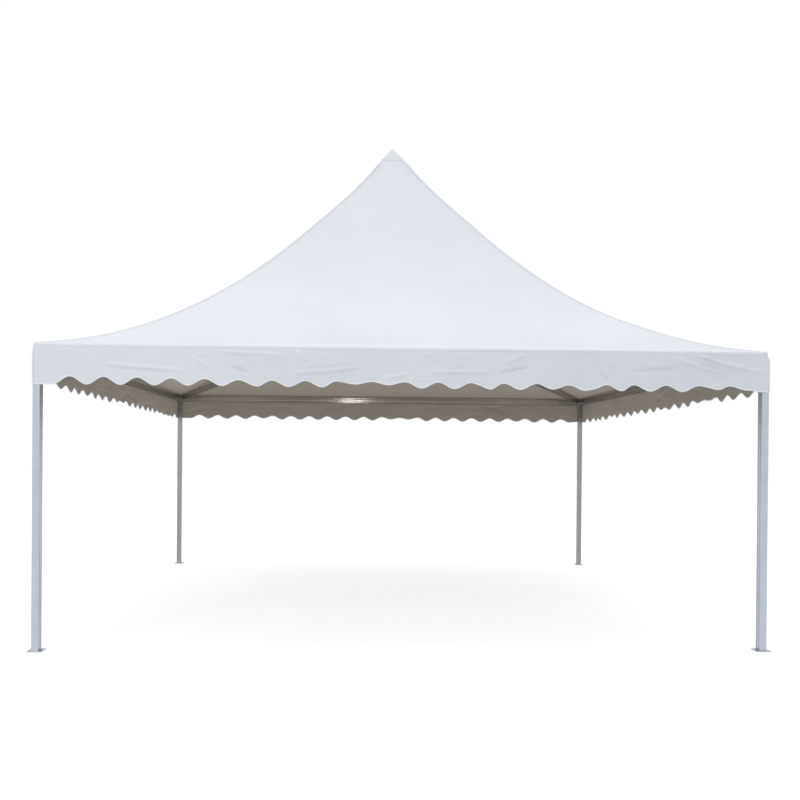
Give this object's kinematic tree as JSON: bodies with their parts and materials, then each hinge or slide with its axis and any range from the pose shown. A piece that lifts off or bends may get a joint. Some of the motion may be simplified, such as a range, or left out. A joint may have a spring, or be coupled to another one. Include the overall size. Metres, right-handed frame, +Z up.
{
  "type": "marquee tent",
  "caption": "Square peaked marquee tent: upright legs on foot plates, eave beams, hip rafters to a mast, and a concave white cover with a scalloped valance.",
  "frame": {"origin": "ground level under the peak, midway between the four foot plates", "axes": "+Z up along the mast, +X to the right and +Y to the back as seen from the picture's side"},
  "size_m": [6.12, 6.12, 5.1846],
  "materials": {
    "foot_plate": "galvanised",
    "leg": "satin anodised extrusion",
    "corner_joint": "galvanised",
    "hip_rafter": "satin anodised extrusion",
    "eave_beam": "satin anodised extrusion",
    "centre_hub": "galvanised",
    "mast": "satin anodised tube",
    "mast_head": "galvanised",
    "peak_cap": "coated cloth",
    "cover": "white coated cloth, satin outside, warm grey inside",
    "valance": "white coated cloth with a bound scalloped hem"
  },
  "bodies": {
    "root": {"foot_plate_front_left": "foot_plate", "leg_front_left": "leg", "corner_joint_front_left": "corner_joint", "hip_rafter_front_left": "hip_rafter", "foot_plate_front_right": "foot_plate", "leg_front_right": "leg", "corner_joint_front_right": "corner_joint", "hip_rafter_front_right": "hip_rafter", "foot_plate_back_right": "foot_plate", "leg_back_right": "leg", "corner_joint_back_right": "corner_joint", "hip_rafter_back_right": "hip_rafter", "foot_plate_back_left": "foot_plate", "leg_back_left": "leg", "corner_joint_back_left": "corner_joint", "hip_rafter_back_left": "hip_rafter", "eave_beam_front": "eave_beam", "eave_beam_right": "eave_beam", "eave_beam_back": "eave_beam", "eave_beam_left": "eave_beam", "centre_hub": "centre_hub", "mast": "mast", "mast_head": "mast_head", "peak_cap": "peak_cap", "roof_panel_front": "cover", "valance_front": "valance", "roof_panel_right": "cover", "valance_right": "valance", "roof_panel_back": "cover", "valance_back": "valance", "roof_panel_left": "cover", "valance_left": "valance"}
  },
  "joints": []
}
